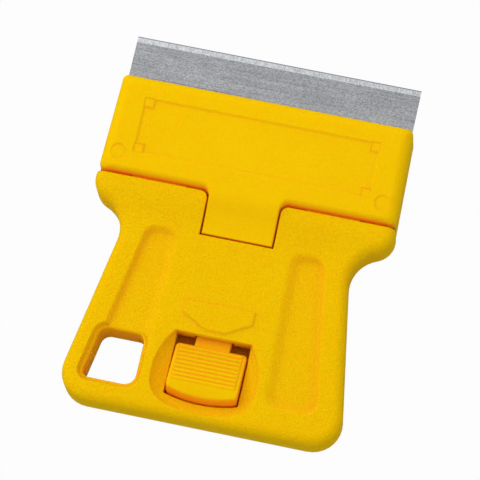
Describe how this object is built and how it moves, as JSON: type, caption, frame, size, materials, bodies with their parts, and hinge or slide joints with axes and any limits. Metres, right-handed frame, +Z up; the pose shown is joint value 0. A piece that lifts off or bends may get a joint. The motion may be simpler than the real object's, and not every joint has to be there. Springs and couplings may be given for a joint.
{
  "type": "ceramic hob scraper",
  "caption": "Flat yellow scraper for ceramic hobs: a wide sprung head clamps a straight steel blade, and a ribbed thumb pad in the waisted handle opens it.",
  "frame": {"origin": "middle of the whole tool along X and Y, on the plane it lies on", "axes": "+X across the tool to the right, +Y towards the blade, +Z up out of the front face"},
  "size_m": [0.0626, 0.0784, 0.0104],
  "materials": {
    "yellow_plastic": "moulded plastic with a fine spark-eroded grain",
    "pin_steel": "drawn steel wire",
    "blade_steel": "hardened strip steel, ground along its edge",
    "spring_steel": "plain spring wire",
    "screw_steel": "zinc plated"
  },
  "bodies": {
    "handle": {"handle_body": "yellow_plastic", "rear_cover": "yellow_plastic", "hinge_pin_left": "pin_steel", "hinge_pin_right": "pin_steel", "cover_screws": "screw_steel", "return_spring": "spring_steel"},
    "jaw": {"clamp_jaw": "yellow_plastic"},
    "blade_body": {"blade": "blade_steel"}
  },
  "joints": [
    {"name": "jaw_rock", "type": "hinge", "parent": "handle", "child": "jaw", "pos_m": [0, 0.00825, 0.0055], "axis": [1, 0, 0], "range_deg": [0, 3], "stiffness_Nm_per_rad": 1, "springref_deg": -3.44, "deforming": ["return_spring"]},
    {"name": "blade_out", "type": "slide", "parent": "handle", "child": "blade_body", "axis": [0, 1, 0], "range_m": [0, 0.012]}
  ]
}
